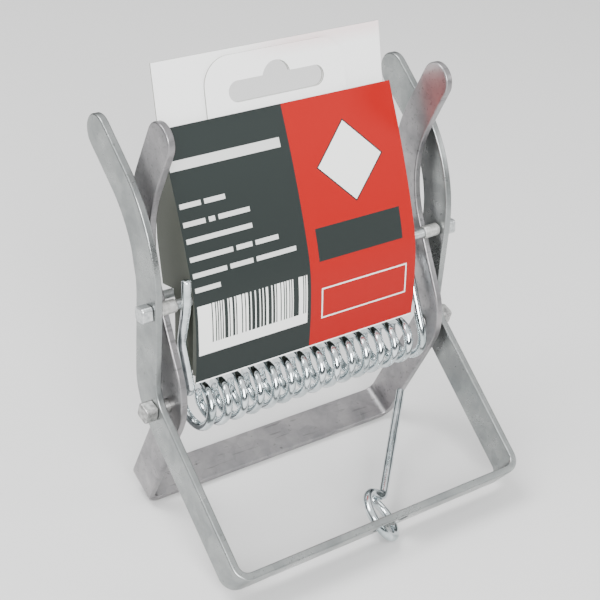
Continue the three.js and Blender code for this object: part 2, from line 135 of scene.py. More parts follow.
def side_line(leg_length):
    """The middle line of a leg and claw, as arrays of u, v and slope. A straight gains its length
    times the cosine and sine of its slope. On an arc of radius R the slope s runs evenly from a to
    b, and the line gains R (sin s - sin a) and R (cos a - cos s), negative for a falling slope."""
    u = np.array([PIVOT_OFFSET * math.sin(LEG_SLOPE) - leg_length * math.cos(LEG_SLOPE)])
    v = np.array([-PIVOT_OFFSET * math.cos(LEG_SLOPE) - leg_length * math.sin(LEG_SLOPE)])
    slope = np.array([LEG_SLOPE])
    for start, end, size in (
        (LEG_SLOPE, LEG_SLOPE, leg_length - ELBOW_DROP),
        (LEG_SLOPE, JAW_SLOPE, ELBOW_RADIUS),
        (JAW_SLOPE, JAW_SLOPE, JAW_STRAIGHT),
        (JAW_SLOPE, TIP_SLOPE, CLAW_RADIUS),
        (TIP_SLOPE, TIP_SLOPE, TIP_STRAIGHT),
    ):
        steps = 1 if start == end else ARC_STEPS
        share = np.linspace(0, 1, steps + 1)[1:]
        here = start + (end - start) * share
        if start == end:
            gain_u = size * share * math.cos(start)
            gain_v = size * share * math.sin(start)
        else:
            radius = math.copysign(size, end - start)
            gain_u = radius * (np.sin(here) - math.sin(start))
            gain_v = radius * (math.cos(start) - np.cos(here))
        u = np.append(u, u[-1] + gain_u)
        v = np.append(v, v[-1] + gain_v)
        slope = np.append(slope, here)
    return u, v, slope


def flat_bar(half, leg_length):
    """The bent bar as a grid: stations along its middle line, and places round its section. The
    section is the bar's width and thickness with each edge rolled to a quarter circle. In the
    handle's bend the section turns with the bend. At the tip each place keeps its own distance
    from the bar's middle line and swings through a quarter turn to the end of the line, which
    rounds the claw and its rolled edge together."""
    u, v, slope = side_line(leg_length)
    middle = half - BAR_THICKNESS / 2
    corner = BEND_RADIUS + BAR_THICKNESS / 2
    bend = np.linspace(0, math.pi / 2, BEND_STEPS + 1)
    tip = np.linspace(0, math.pi / 2, TIP_STEPS + 1)[1:]
    lift = np.append(0, corner * (1 - np.cos(bend))) + BAR_THICKNESS / 2
    side = len(u) - 1
    x = np.concatenate([[0], middle - corner + corner * np.sin(bend),
                        np.full(side + TIP_STEPS, middle)])
    u = np.concatenate([u[0] + lift * math.cos(LEG_SLOPE), u[1:], np.full(TIP_STEPS, u[-1])])
    v = np.concatenate([v[0] + lift * math.sin(LEG_SLOPE), v[1:], np.full(TIP_STEPS, v[-1])])
    slope = np.concatenate([np.full(len(lift), LEG_SLOPE), slope[1:],
                            np.full(TIP_STEPS, slope[-1])])
    tilt = np.concatenate([[math.pi / 2], math.pi / 2 - bend, np.zeros(side + TIP_STEPS)])
    swing = np.concatenate([np.zeros(len(lift) + side), tip])

    nought = np.zeros(len(x))
    along = np.stack([nought, np.cos(slope), np.sin(slope)], axis=-1)[:, None]
    across = np.stack([nought, -np.sin(slope), np.cos(slope)], axis=-1)[:, None]
    out = np.stack([np.cos(tilt), -np.cos(slope) * np.sin(tilt), -np.sin(slope) * np.sin(tilt)],
                   axis=-1)[:, None]

    roll = np.linspace(math.pi / 2, 0, EDGE_STEPS + 1)
    inset = EDGE_RADIUS * (1 - np.cos(roll))
    height = BAR_THICKNESS / 2 - EDGE_RADIUS * (1 - np.sin(roll))
    inset = np.concatenate([inset, inset[::-1]] * 2)
    height = np.concatenate([height, -height[::-1], -height, height[::-1]])
    edge = np.repeat([1, -1], len(inset) // 2)
    reach = BAR_WIDTH / 2 - inset
    points = (np.stack([x, u, v], axis=-1)[:, None]
              + along * (reach * np.sin(swing)[:, None])[..., None]
              + across * (edge * reach * np.cos(swing)[:, None])[..., None]
              + out * height[None, :, None])
    return np.concatenate([points[1:][::-1] * (-1, 1, 1), points])


def skin(name, grid):
    """A closed mesh over a grid of points in the trap's plane, its rows along the piece and its
    columns round it. Rows that shrink to a line or a point are welded, which closes the ends, and
    all faces are turned outwards."""
    rows, columns = grid.shape[:2]
    row = np.arange(rows - 1)[:, None] * columns
    place = np.arange(columns)
    beside = np.roll(place, -1)
    quads = np.stack([row + place, row + beside, row + columns + beside, row + columns + place],
                     axis=-1)
    mesh = bpy.data.meshes.new(name)
    mesh.from_pydata(stand(grid).reshape(-1, 3), [], quads.reshape(-1, 4))
    shell = bmesh.new()
    shell.from_mesh(mesh)
    bmesh.ops.remove_doubles(shell, verts=shell.verts, dist=WELD)
    bmesh.ops.recalc_face_normals(shell, faces=shell.faces)
    shell.to_mesh(mesh)
    shell.free()
    mesh.shade_smooth()
    piece = bpy.data.objects.new(name, mesh)
    bpy.context.scene.collection.objects.link(piece)
    return piece


def rounded_post(name, stations, centre, axis, first, second):
    """A solid carried along an axis. Each station gives its place on the axis, the half length of
    the straight part along the first and the second direction, and a corner radius. Its outline
    is four quarter circles of that radius about the corners of that straight part."""
    place, straight_first, straight_second, radius = np.array(stations, float).T[..., None, None]
    quarter = np.linspace(0, math.pi / 2, HOLE_STEPS + 1)
    start = np.arange(4)[:, None] * math.pi / 2
    corner = start + math.pi / 4
    one = straight_first * math.sqrt(2) * np.cos(corner) + radius * np.cos(start + quarter)
    two = straight_second * math.sqrt(2) * np.sin(corner) + radius * np.sin(start + quarter)
    place, one, two = (part.reshape(len(stations), -1, 1)
                       for part in np.broadcast_arrays(place, one, two))
    return skin(name, np.array(centre) + place * axis + one * first + two * second)


def cut(piece, cutters):
    """Takes the cutters out of the piece and removes them."""
    for cutter in cutters:
        hole = piece.modifiers.new("hole", "BOOLEAN")
        hole.object = cutter
        hole.solver = "EXACT"
    seen = piece.evaluated_get(bpy.context.evaluated_depsgraph_get())
    whole = piece.data
    piece.data = bpy.data.meshes.new_from_object(seen)
    piece.modifiers.clear()
    bpy.data.meshes.remove(whole)
    for cutter in cutters:
        bpy.data.meshes.remove(cutter.data)
    piece.data.name = piece.name


def dress(piece, material, replaced, body=None):
    """Gives a piece its material and its slot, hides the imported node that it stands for, and lets
    it ride on its body."""
    if material:
        piece.data.materials.clear()
        piece.data.materials.append(material)
    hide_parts(replaced)
    if body:
        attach(piece, body)


def flat_faces(piece):
    """Shades the broad faces flat and the rounded edges between them smooth."""
    piece.data.set_sharp_from_angle(angle=SHARP_ANGLE)
    shading = piece.modifiers.new("flat faces", "WEIGHTED_NORMAL")
    shading.keep_sharp = True


class Shade:
    """An output of a material's node. Arithmetic on it adds the Math nodes that work it out."""

    def __init__(self, tree, socket):
        self.tree = tree
        self.socket = socket

    def node(self, kind, settings, sockets, output=0):
        """A node of that kind: its settings come first, then each socket gets a value or a link.
        One of its outputs comes back."""
        made = self.tree.nodes.new(kind)
        for name, value in settings.items():
            setattr(made, name, value)
        for name, value in sockets.items():
            if isinstance(value, Shade):
                self.tree.links.new(value.socket, made.inputs[name])
            else:
                made.inputs[name].default_value = value
        return Shade(self.tree, made.outputs[output])

    def math(self, operation, *others):
        """That operation on this value and the others."""
        values = dict(enumerate((self, *others)))
        return self.node("ShaderNodeMath", {"operation": operation}, values)

    def __add__(self, other):
        return self.math("ADD", other)

    def __sub__(self, other):
        return self.math("SUBTRACT", other)

    def __mul__(self, other):
        return self.math("MULTIPLY", other)

    __radd__ = __add__
    __rmul__ = __mul__

    def along(self, axis):
        """How far a place lies along x, y or z, the axis being 0, 1 or 2."""
        return self.node("ShaderNodeSeparateXYZ", {}, {"Vector": self}, output=axis)

    def above(self, low, high):
        """0 below low, 1 above high, and even between them."""
        return self.node("ShaderNodeMapRange", {}, {"Value": self, "From Min": low,
                                                    "From Max": high})

    def noise(self, scale, detail, roughness=0.5):
        """Soft random patches about this place, so many to the metre, between 0 and 1."""
        return self.node("ShaderNodeTexNoise", {}, {"Vector": self, "Scale": scale,
                                                    "Detail": detail, "Roughness": roughness})

    def mix(self, share, first, second):
        """The first colour, and the second where the share is 1."""
        return self.node("ShaderNodeMix", {"data_type": "RGBA"}, {0: share, 6: first, 7: second},
                         output=2)

    def bump(self, height, strength, distance):
        """A normal that leans as the height's slope says, without moving the surface."""
        return self.node("ShaderNodeBump", {}, {"Height": height, "Strength": strength,
                                                "Distance": distance})


def material_on_object(name):
    """A new material, and its Object coordinates to work from."""
    material = bpy.data.materials.new(name)
    material.use_nodes = True
    tree = material.node_tree
    tree.nodes.clear()
    return material, Shade(tree, tree.nodes.new("ShaderNodeTexCoord").outputs["Object"])


def surface(place, **sockets):
    """Ends a material in one shader with these sockets, named with _ for a blank."""
    named = {name.replace("_", " "): value for name, value in sockets.items()}
    shader = place.node("ShaderNodeBsdfPrincipled", {}, named)
    end = place.tree.nodes.new("ShaderNodeOutputMaterial")
    place.tree.links.new(shader.socket, end.inputs["Surface"])


def galvanised_bar(name, body, pale, pit, roughness, scratches):
    """Dipped steel: faint crystals a few millimetres wide, soft pale clouds, a few dark pits, and
    fine grain in the relief."""
    material, place = material_on_object(name)
    crystal = place.node("ShaderNodeTexVoronoi", {},
                         {"Vector": place, "Scale": CRYSTALS_PER_METRE}, output=1)
    crystal = crystal.node("ShaderNodeSeparateColor", {}, {"Color": crystal})
    cloud = place.noise(CLOUDS_PER_METRE, detail=4.0, roughness=0.6).above(*CLOUD_RANGE)
    dots = place.noise(PITS_PER_METRE, detail=3.0, roughness=0.55).above(*PIT_RANGE)
    grain = place.noise(GRAINS_PER_METRE, detail=2.0)
    drawn = place.node("ShaderNodeMapping", {}, {"Vector": place, "Scale": SCRATCH_STRETCH})
    scratch = drawn.noise(SCRATCHES_PER_METRE, detail=2.0).above(*SCRATCH_RANGE) * scratches
    colour = place.mix(cloud * CLOUD_TINT + crystal * CRYSTAL_TINT, body, pale)
    colour = place.mix(dots * PIT_TINT + scratch * SCRATCH_TINT, colour, pit)
    relief = (cloud * CLOUD_HEIGHT + grain * GRAIN_HEIGHT + crystal * CRYSTAL_HEIGHT
              - dots * PIT_DEPTH)
    surface(place, Base_Color=colour, Metallic=BAR_METAL,
            Roughness=roughness + GRAIN_DULLS * grain - CLOUD_SHINES * cloud,
            Normal=place.bump(relief, BAR_RELIEF, BUMP_METRES))
    return material


bar_steel = galvanised_bar("galvanised bar", GALVANISED, GALVANISED_PALE, GALVANISED_PIT,
                           BAR_ROUGHNESS, BAR_SCRATCHES)
side_axis = np.array([1.0, 0.0, 0.0])
u_axis = np.array([0.0, 1.0, 0.0])
v_axis = np.array([0.0, 0.0, 1.0])
leg_along = np.array([0.0, math.cos(LEG_SLOPE), math.sin(LEG_SLOPE)])
leg_across = np.array([0.0, -math.sin(LEG_SLOPE), math.cos(LEG_SLOPE)])
handle_middle = ((BAR_THICKNESS / 2 - FRONT_LEG_LENGTH) * leg_along - PIVOT_OFFSET * leg_across
                 + SLOT_OFFSET * side_axis)


def bore(name, radius, centre):
    """A round cutter across the whole trap."""
    end = FRONT_HALF + OVERRUN
    stations = [(-end, 0, 0, 0), (-end, 0, 0, radius), (end, 0, 0, radius), (end, 0, 0, 0)]
    return rounded_post(name, stations, centre, side_axis, u_axis, v_axis)


def bar_frame(name, grid, cutters, material, body):
    """A bent bar with its holes, their rims eased."""
    bar = skin(name, grid)
    cut(bar, cutters)
    rim = bar.modifiers.new("rims", "BEVEL")
    rim.width = RIM_WIDTH * MM
    rim.segments = RIM_STEPS
    rim.limit_method = "ANGLE"
    rim.angle_limit = RIM_ANGLE
    flat_faces(bar)
    dress(bar, material, name, body)


slot_half = (SLOT_LENGTH - SLOT_WIDTH) / 2
slot_stations = [(-OVERRUN, 0, 0, 0), (-OVERRUN, slot_half, 0, SLOT_WIDTH / 2),
                 (OVERRUN, slot_half, 0, SLOT_WIDTH / 2), (OVERRUN, 0, 0, 0)]
eye_slot = rounded_post("eye slot", slot_stations, handle_middle + SLOT_INSET * leg_across,
                        leg_along, side_axis, leg_across)
bar_frame("front_frame", flat_bar(FRONT_HALF, FRONT_LEG_LENGTH),
          [bore("pin hole", PIN_RADIUS + FIT, (0, 0, 0)),
           bore("rod hole", ROD_RADIUS + FIT, (0, ROD_U, ROD_V)), eye_slot],
          bar_steel, "front_frame")

# Rear frame: the same bar mirrored front to back, with a shorter leg, and narrower by a bar and a gap on each
# side, so that it turns inside the front frame. Its steel is greyer, with fine scratches along the handle, and has
# a pinkish cast that is a painted reflection of the card's red print.
REAR_LEG_LENGTH = 49.6
SIDE_GAP = 2.4
REAR_HALF = FRONT_HALF - BAR_THICKNESS - SIDE_GAP
# The body and pale colours carry a pinkish cast, a painted reflection of the card's red print.
REAR_GREY_PAINTED_REFLECTION = (0.21, 0.207, 0.214, 1.0)
REAR_PALE_PAINTED_REFLECTION = (0.39, 0.375, 0.38, 1.0)
WORN_PIT = (0.07, 0.07, 0.072, 1.0)
WORN_ROUGHNESS = 0.34
WORN_SCRATCHES = 1.0

scratched_steel_painted_reflection = galvanised_bar("scratched galvanised bar with painted reflection", REAR_GREY_PAINTED_REFLECTION, REAR_PALE_PAINTED_REFLECTION, WORN_PIT,
                            WORN_ROUGHNESS, WORN_SCRATCHES)
bar_frame("rear_frame", flat_bar(REAR_HALF, REAR_LEG_LENGTH) * (1, -1, 1),
          [bore("pin hole", PIN_RADIUS + FIT, (0, 0, 0)),
           bore("rod hole", ROD_RADIUS + FIT, (0, -ROD_U, ROD_V))],
          scratched_steel_painted_reflection, "rear_frame")

# Pivot pins: one steel pin a side joins the frames. Its squarish head stands proud outside, and
# its inner end is riveted over to a small dome.
CLEARANCE = 0.3
PIN_HEAD_WIDTH = 5.4
PIN_HEAD_LENGTH = 3.9
PIN_HEAD_TURN = math.radians(28)
HEAD_CORNER = 1.2
HEAD_EASE = 0.5
HEAD_EASE_STEPS = 4
RIVET_RADIUS = 2.9
RIVET_LENGTH = 0.9
RIVET_STEPS = 6
REAR_INNER = REAR_HALF - BAR_THICKNESS
PIN_BODY = (0.24, 0.24, 0.235, 1.0)
PIN_RIM = (0.48, 0.48, 0.47, 1.0)
PIN_ROUGHNESS = 0.33
TURNED_METAL = 0.85
GRIME_PER_METRE = 600.0
GRIME_RANGE = (0.4, 0.65)
GRIME_DULLS = 0.15
MARKS_PER_METRE = 2600.0
TURNED_HEIGHT = 0.5
TURNED_RELIEF = 0.3


def head_stations(width, length):
    """Stations of a squarish head outside the front frame, from its foot to the middle of its end
    face. The end's edge is eased by a quarter circle, by which the corner radius shrinks."""
    foot = FRONT_HALF + CLEARANCE
    end = foot + length
    straight = width / 2 - HEAD_CORNER
    eased = [(end - HEAD_EASE * (1 - math.sin(turn)), straight, straight,
              HEAD_CORNER - HEAD_EASE * (1 - math.cos(turn)))
             for turn in np.linspace(0, math.pi / 2, HEAD_EASE_STEPS + 1)]
    return [(foot, straight, straight, HEAD_CORNER), *eased, (end, 0, 0, 0)]


def turned_axes(turn):
    """The two directions of a head's outline, turned in the trap's plane."""
    return (math.cos(turn) * u_axis + math.sin(turn) * v_axis,
            math.cos(turn) * v_axis - math.sin(turn) * u_axis)


def small_steel(name, body, rim, roughness):
    """A turned part: bright metal with grey grime in random patches, and tool marks."""
    material, place = material_on_object(name)
    grime = place.noise(GRIME_PER_METRE, detail=3.0, roughness=0.6).above(*GRIME_RANGE)
    marks = place.noise(MARKS_PER_METRE, detail=2.0)
    relief = marks * TURNED_HEIGHT + grime * TURNED_HEIGHT
    surface(place, Base_Color=place.mix(grime, rim, body), Metallic=TURNED_METAL,
            Roughness=roughness + GRIME_DULLS * grime,
            Normal=place.bump(relief, TURNED_RELIEF, BUMP_METRES))
    return material


pin_steel = small_steel("pin steel", PIN_BODY, PIN_RIM, PIN_ROUGHNESS)
rivet_end = REAR_INNER - CLEARANCE
dome = np.linspace(math.pi / 2, 0, RIVET_STEPS + 1)
pin_stations = [(rivet_end - RIVET_LENGTH * math.sin(turn), 0, 0, RIVET_RADIUS * math.cos(turn))
                for turn in dome]
pin_stations += [(rivet_end, 0, 0, PIN_RADIUS), (FRONT_HALF + CLEARANCE, 0, 0, PIN_RADIUS)]
pin_stations += head_stations(PIN_HEAD_WIDTH, PIN_HEAD_LENGTH)
for name, side in (("pivot_pin_left", -1), ("pivot_pin_right", 1)):
    pin = rounded_post(name, pin_stations, (0, 0, 0), side * side_axis,
                       *turned_axes(PIN_HEAD_TURN))
    flat_faces(pin)
    dress(pin, pin_steel, name, "front_frame")

# Front rod: a 3 mm plated rod through both claws of the front frame, upset to a squarish head
# outside each.
ROD_HEAD_WIDTH = 4.9
ROD_HEAD_LENGTH = 3.4
ROD_HEAD_TURN = math.radians(6)
ROD_BODY = (0.40, 0.42, 0.43, 1.0)
ROD_RIM = (0.62, 0.64, 0.64, 1.0)
ROD_ROUGHNESS = 0.28

rod_steel = small_steel("rod steel", ROD_BODY, ROD_RIM, ROD_ROUGHNESS)
one_end = [(FRONT_HALF + CLEARANCE, 0, 0, ROD_RADIUS)]
one_end += head_stations(ROD_HEAD_WIDTH, ROD_HEAD_LENGTH)
rod_stations = [(-x, first, second, radius) for x, first, second, radius in one_end[::-1]]
front_rod = rounded_post("front_rod", rod_stations + one_end, (0, ROD_U, ROD_V), side_axis,
                         *turned_axes(ROD_HEAD_TURN))
flat_faces(front_rod)
dress(front_rod, rod_steel, "front_rod", "front_frame")

# Rod sleeves: two short thick-walled steel collars, slid on the front rod next to the frame's
# sides. The rear frame's claws come to rest on them.
SLEEVE_RADIUS = 2.15
SLEEVE_LENGTH = 6.0
SLEEVE_OUTER = FRONT_HALF - BAR_THICKNESS - CLEARANCE
SLEEVE_INNER = SLEEVE_OUTER - SLEEVE_LENGTH
SLEEVE_EASE = 0.35
SLEEVE_BODY = (0.38, 0.38, 0.365, 1.0)
SLEEVE_RIM = (0.62, 0.62, 0.60, 1.0)
SLEEVE_ROUGHNESS = 0.42

sleeve_steel = small_steel("sleeve steel", SLEEVE_BODY, SLEEVE_RIM, SLEEVE_ROUGHNESS)
sleeve_bore = ROD_RADIUS + FIT
sleeve_profile = [
    (SLEEVE_INNER, sleeve_bore), (SLEEVE_INNER, SLEEVE_RADIUS - SLEEVE_EASE),
    (SLEEVE_INNER + SLEEVE_EASE, SLEEVE_RADIUS), (SLEEVE_OUTER - SLEEVE_EASE, SLEEVE_RADIUS),
    (SLEEVE_OUTER, SLEEVE_RADIUS - SLEEVE_EASE), (SLEEVE_OUTER, sleeve_bore),
    (SLEEVE_INNER, sleeve_bore),
]
for name, side in (("rod_sleeve_left", -1), ("rod_sleeve_right", 1)):
    collar = rounded_post(name, [(x, 0, 0, radius) for x, radius in sleeve_profile],
                          (0, ROD_U, ROD_V), side * side_axis, u_axis, v_axis)
    flat_faces(collar)
    dress(collar, sleeve_steel, name, "front_frame")

# Rear rod: a plain plated rod behind the card, carried in holes of both claws of the rear frame and
# cut flush with their outsides.
ROD_EASE = 0.3

rear_stations = [(-REAR_HALF, 0, 0, 0), (-REAR_HALF, 0, 0, ROD_RADIUS - ROD_EASE),
                 (ROD_EASE - REAR_HALF, 0, 0, ROD_RADIUS), (REAR_HALF - ROD_EASE, 0, 0, ROD_RADIUS),
                 (REAR_HALF, 0, 0, ROD_RADIUS - ROD_EASE), (REAR_HALF, 0, 0, 0)]
rear_rod = rounded_post("rear_rod", rear_stations, (0, -ROD_U, ROD_V), side_axis, u_axis, v_axis)
flat_faces(rear_rod)
dress(rear_rod, rod_steel, "rear_rod", "rear_frame")

# Torsion spring: 3 mm bright zinc-plated wire, wound in some fifteen open curls between the frames.
# Its left arm leaves the top of the coil and lies before the front rod, and its right arm leaves
# the front and lies behind the rear rod, so the spring winds up as the jaws open.
WIRE_RADIUS = 1.5
WIRE_SIDES = 20
WIRE_EASE = 0.4
COIL_RADIUS = 6.5
COIL_U = 0.75
COIL_V = -4.0
COIL_TURNS = 14.5
COIL_END = 45.2
COIL_LEFT_END = -44.5
COIL_LEFT_START = -0.24
COIL_STEPS = 40
ARM_X = 46.4
LEFT_KINK = (-3.5, 19.8)
RIGHT_KINK = (1.0, 21.5)
ARM_LEAD = 3.4
ARM_GAP = 0.6
ARM_SEAT_U = ROD_RADIUS + WIRE_RADIUS + ARM_GAP - ROD_U
ARM_TOP_U = 11.0
ARM_TOP_V = 41.8
ARM_STEP = 0.4
ARM_SOFTNESS = 4.0
ZINC = (0.72, 0.77, 0.79, 1.0)
ZINC_DULL = (0.40, 0.46, 0.47, 1.0)
ZINC_ROUGHNESS = 0.13
SKINS_PER_METRE = 160.0
SKIN_RANGE = (0.4, 0.7)
SKIN_DULLS = 0.08
DRAW_MARKS_PER_METRE = 2200.0
DRAW_RELIEF = 0.12


def softened(corners, step, softness):
    """A line through corners, walked in even steps, with each point then put at the mean of the
    points within half the softness either way, which rounds the corners. Past both ends the line
    is drawn on straight, so the ends stay where they are."""
    corners = np.array(corners, float)
    lengths = np.linalg.norm(np.diff(corners, axis=0), axis=1)
    walked = np.append(0, np.cumsum(lengths))
    places = np.linspace(0, walked[-1], int(walked[-1] / step) + 1)
    half = int(softness / step / 2)
    line = np.stack([np.interp(places, walked, corners[:, i]) for i in range(3)], axis=-1)
    beyond = np.arange(1, half + 1)[:, None]
    before = line[0] - beyond[::-1] * (line[1] - line[0])
    after = line[-1] + beyond * (line[-1] - line[-2])
    line = np.concatenate([before, line, after])
    total = np.cumsum(np.concatenate([np.zeros((1, 3)), line]), axis=0)
    window = 2 * half + 1
    return (total[window:] - total[:-window]) / window


def wire(name, line, reference):
    """A round wire: circles of the wire's radius stand square to the line. Their first spoke is
    the reference direction less its part along the line, and their second is square to both. Both
    ends are cut flat with an eased edge."""
    line = np.concatenate([line[:1], line[:1], line, line[-1:], line[-1:]])
    along = np.gradient(line[2:-2], axis=0)
    along /= np.linalg.norm(along, axis=1, keepdims=True)
    along = np.concatenate([along[:1], along[:1], along, along[-1:], along[-1:]])
    radius = np.full(len(line), WIRE_RADIUS)
    radius[[0, -1]] = 0
    radius[[1, -2]] = WIRE_RADIUS - WIRE_EASE
    line[2] = line[0] + along[0] * WIRE_EASE
    line[-3] = line[-1] - along[-1] * WIRE_EASE
    spoke = reference - (along @ reference)[:, None] * along
    spoke /= np.linalg.norm(spoke, axis=1, keepdims=True)
    other = np.cross(along, spoke)
    turn = np.linspace(0, 2 * math.pi, WIRE_SIDES, endpoint=False)[None, :, None]
    ring = np.cos(turn) * spoke[:, None] + np.sin(turn) * other[:, None]
    return skin(name, line[:, None] + ring * radius[:, None, None])


def bright_wire(name, colour, dull, roughness):
    """Bright zinc: faint draw marks, and a duller skin in places."""
    material, place = material_on_object(name)
    duller = place.noise(SKINS_PER_METRE, detail=3.0, roughness=0.6).above(*SKIN_RANGE)
    marks = place.noise(DRAW_MARKS_PER_METRE, detail=2.0)
    surface(place, Base_Color=place.mix(duller, colour, dull), Metallic=1.0,
            Roughness=roughness + SKIN_DULLS * duller,
            Normal=place.bump(marks, DRAW_RELIEF, BUMP_METRES))
    return material


def spring_arm(side, kink):
    """The upper part of an arm, from its kink to its tip."""
    return [(side * ARM_X, *kink), (side * ARM_X, side * ARM_SEAT_U, ROD_V),
            (side * ARM_X, side * ARM_TOP_U, ARM_TOP_V)]


share = np.linspace(0, 1, int(COIL_TURNS * COIL_STEPS) + 1)
turn = 2 * math.pi * (COIL_LEFT_START + (COIL_TURNS - COIL_LEFT_START) * share)
coil = np.stack([COIL_LEFT_END + (COIL_END - COIL_LEFT_END) * share,
                 COIL_U + COIL_RADIUS * np.cos(turn), COIL_V - COIL_RADIUS * np.sin(turn)], axis=-1)
lead = coil[0] + ARM_LEAD * np.array([0, math.sin(turn[0]), math.cos(turn[0])])
left_arm = softened([coil[0], lead, *spring_arm(-1, LEFT_KINK)], ARM_STEP, ARM_SOFTNESS)[::-1]
right_arm = softened([coil[-1], coil[-1] + (0, 0, 2 * WIRE_RADIUS), *spring_arm(1, RIGHT_KINK)],
                     ARM_STEP, ARM_SOFTNESS)
spring = wire("torsion_spring", np.concatenate([left_arm[:-1], coil, right_arm[1:]]), side_axis)
zinc_wire = bright_wire("bright zinc wire", ZINC, ZINC_DULL, ZINC_ROUGHNESS)
dress(spring, zinc_wire, "torsion_spring")
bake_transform(spring)

# Wire catch: a stiff plated wire. Its eye is one turn, through the slot of the front handle and
# under the handle's rear edge, and swung round so that it lies open to the front left. At the top
# the wire bends off and runs straight and low to the right rear corner of the rear frame.
EYE_RADIUS = 7.91
EYE_TURNS = 1.05
EYE_PITCH = 3.15
EYE_RIGHT_BY = 4.48
EYE_UP_BY = 3.06
EYE_BACK_BY = 4.39
EYE_STEPS = 96
EYE_YAW = math.radians(43.3)
EYE_LEAN = math.radians(35.0)
EYE_LEAVE = math.radians(126.3)
CATCH_TIP = (47.2, 11.0, -28.5)
CATCH_BEND_POINTS = 12
CATCH_SOFTNESS = 4.0

eye_normal = np.array([math.cos(EYE_YAW) * math.cos(EYE_LEAN),
                       -math.sin(EYE_YAW) * math.cos(EYE_LEAN), math.sin(EYE_LEAN)])
eye_side = np.cross(eye_normal, leg_across)
eye_side /= np.linalg.norm(eye_side)
eye_centre = (handle_middle + (EYE_RIGHT_BY - SLOT_OFFSET) * side_axis + EYE_UP_BY * leg_along
              - EYE_BACK_BY * leg_across)
turns = np.linspace(EYE_TURNS, 0, int(EYE_TURNS * EYE_STEPS) + 1)[:, None]
angle = EYE_LEAVE + 2 * math.pi * turns
eye_line = (eye_centre + eye_side * EYE_RADIUS * np.cos(angle)
            + np.cross(eye_normal, eye_side) * EYE_RADIUS * np.sin(angle)
            + eye_normal * EYE_PITCH * (EYE_TURNS / 2 - turns))
shank = softened([*eye_line[-CATCH_BEND_POINTS:], CATCH_TIP], ARM_STEP, CATCH_SOFTNESS)
catch = wire("wire_catch", np.concatenate([eye_line[:-CATCH_BEND_POINTS], shank]), eye_normal)
dress(catch, zinc_wire, "wire_catch", "wire_catch")

# Card, front panel: half a millimetre of varnished board, printed on its front only. It bows over
# the front rod and leans back at its top. The print is plain: two grounds, rows of bars, empty
# fields, and stripes of random width.
CARD_THICKNESS = 0.5
PANEL_WIDTH = 86.0
# Places u, v that the panel's middle line passes through, from its foot to its top.
PANEL_LINE = ((-2.9, 5.35), (-5.9, 18.5), (-7.6, 32.5), (-6.3, 47.0), (-3.1, 66.0), (1.1, 84.8))
PANEL_STEPS = 16
SLATE = (0.014, 0.019, 0.018, 1.0)
RED = (0.31, 0.0015, 0.001, 1.0)
PRINT_WHITE = (0.80, 0.81, 0.79, 1.0)
CARD_WHITE = (0.90, 0.90, 0.88, 1.0)
# Painted reflection: pink where red light from the print falls on white board.
PAINTED_RED_REFLECTION = (0.80, 0.60, 0.60, 1.0)
# Olive: on the folded side and the panel's left edge, slate print lightened by a painted sheen; on the white back
# board, a painted shade.
PRINT_SHEEN_AND_SHADE_OLIVE = (0.085, 0.091, 0.075, 1.0)
CARD_SHEEN = 0.25
PRINT_ROUGHNESS = 0.42
BOARD_ROUGHNESS = 0.55
FIBRES_PER_METRE = 1800.0
FIBRE_DULLS = 0.1
PRINT_RELIEF = 0.06
BOARD_RELIEF = 0.05
MOTTLES_PER_METRE = 40.0
COOLER = (0.96, 0.97)
# Where on the white board the painted red reflection lies, in metres, and how strong it is.
RED_REFLECTION_X = (-0.012, 0.008)
RED_REFLECTION_Z = (0.1435, 0.1475)
RED_REFLECTION_TINT = 0.6
SAME_WAY = 0.5


def curve_through(knots, steps):
    """A smooth line through the knots. Between two knots it is the cubic that passes through both
    with half the step between their neighbours as its slope at each. An end has itself as its
    missing neighbour."""
    share = np.linspace(0, 1, steps, endpoint=False)[None, :, None]
    knots = np.array([knots[0], *knots, knots[-1]])
    before, start, end, after = (knots[i:len(knots) - 3 + i, None] for i in range(4))
    slope_in = (end - before) / 2
    slope_out = (after - start) / 2
    line = ((2 * share ** 3 - 3 * share ** 2 + 1) * start + (3 * share ** 2 - 2 * share ** 3) * end
            + (share ** 3 - 2 * share ** 2 + share) * slope_in
            + (share ** 3 - share ** 2) * slope_out)
    return np.concatenate([line.reshape(-1, 2), knots[-2:-1]])


# Places on the print, in millimetres from the panel's middle and up from the pivots. A box is left,
# right, low and high, and a bar of a row is left, right and the height of its middle.
RED_FROM = 0.2
WIDE_BAR = (-42.6, -3.0, 72.3, 75.3)
ROW_BARS = (
    (-42.0, -34.6, 62.0), (-33.4, -26.0, 62.0), (-42.0, -34.2, 56.5), (-33.0, -30.8, 56.5),
    (-29.6, -18.3, 56.5), (-42.0, -18.5, 51.5), (-42.0, -26.6, 46.0), (-25.4, -19.6, 46.0),
    (-18.4, -9.9, 46.0), (-42.0, -29.8, 41.0), (-28.6, -20.2, 41.0), (-19.0, -4.1, 41.0),
    (-42.0, -32.9, 36.5),
)
ROW_HALF = 0.75
ROW_TINT = 0.7
STRIPED_FIELD = (-42.0, -1.2, 14.8, 31.4)
STRIPES_BOX = (-37.4, -1.7, 18.4, 31.4)
STRIPES_PER_MM = 2.4
FIRST_STRIPE = 7.0
WHITE_STRIPES = 0.46
DIAMOND_MIDDLE = (21.6, 63.4)
DIAMOND_HALF = 12.5
DIAMOND_EDGE = 13.1
DARK_PLATE = (3.9, 37.8, 34.4, 45.1)
OUTLINED_BOX = (4.4, 39.3, 14.6, 25.3)
OUTLINE_WIDTH = 0.5


def inside(x, v, left, right, low, high):
    """1 inside a box of the print, 0 elsewhere."""
    across = x.math("COMPARE", (left + right) / 2, (right - left) / 2)
    return across * v.math("COMPARE", (low + high) / 2, (high - low) / 2)


